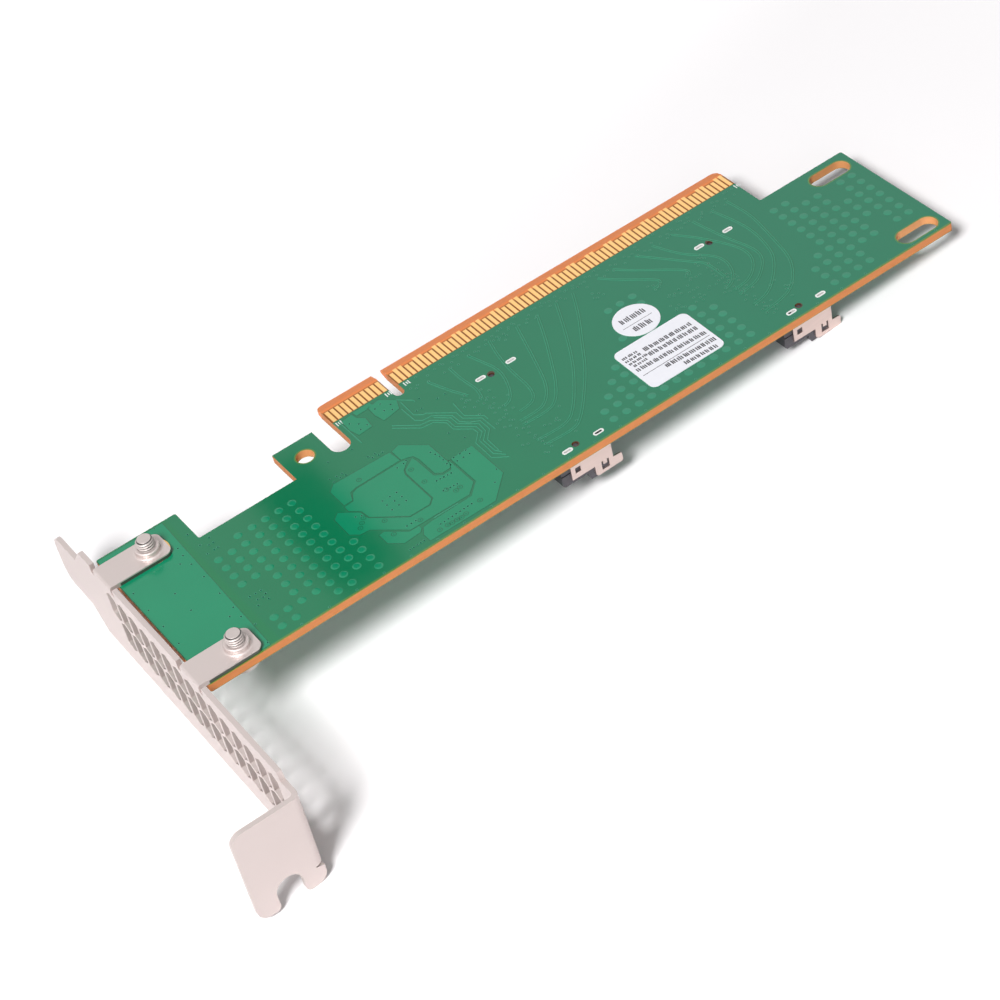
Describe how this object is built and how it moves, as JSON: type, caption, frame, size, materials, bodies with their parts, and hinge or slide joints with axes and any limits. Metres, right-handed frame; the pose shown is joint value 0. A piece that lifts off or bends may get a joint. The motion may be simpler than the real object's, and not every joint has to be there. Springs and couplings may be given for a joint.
{
  "type": "pcie riser card",
  "caption": "Narrow circuit board with a card edge connector, a vented low profile bracket and right angle cable sockets on its hidden face.",
  "frame": {"origin": "centreline of the key slot in the card edge, at the contact tip, in the middle of the board's thickness", "axes": "+X from the bracket to the far end, +Y out of the card edge, +Z out of the solder face"},
  "size_m": [0.1604, 0.0792, 0.0231],
  "materials": {
    "solder_mask": "green solder mask over glass fibre laminate",
    "gold": "gold plated copper",
    "bracket_steel": "nickel plated sheet steel, satin",
    "screw_steel": "nickel plated steel",
    "tin": "tinned copper",
    "paper": "coated paper sticker",
    "chip_plastic": "moulded epoxy",
    "ferrite": "pressed ferrite",
    "ceramic": "fired ceramic",
    "socket_plastic": "moulded liquid crystal polymer",
    "socket_steel": "stamped stainless steel",
    "contact_gold": "gold flashed copper alloy"
  },
  "bodies": {
    "root": {"circuit_board": "solder_mask", "solder_side_contacts": "gold", "component_side_contacts": "gold", "bracket": "bracket_steel", "bracket_screws": "screw_steel", "tinned_slot_rings": "tin", "round_label": "paper", "rectangular_label": "paper", "voltage_regulator": "chip_plastic", "power_inductor": "ferrite", "clock_buffer": "chip_plastic", "memory_chip": "chip_plastic", "bulk_capacitors": "ceramic", "coupling_capacitors": "ceramic", "bypass_capacitors": "ceramic", "resistors": "chip_plastic", "socket_1_housing": "socket_plastic", "socket_1_upper_end_plate": "socket_steel", "socket_1_lower_end_plate": "socket_steel", "socket_1_near_contacts": "contact_gold", "socket_1_far_contacts": "contact_gold", "socket_2_housing": "socket_plastic", "socket_2_upper_end_plate": "socket_steel", "socket_2_lower_end_plate": "socket_steel", "socket_2_near_contacts": "contact_gold", "socket_2_far_contacts": "contact_gold"}
  },
  "joints": []
}
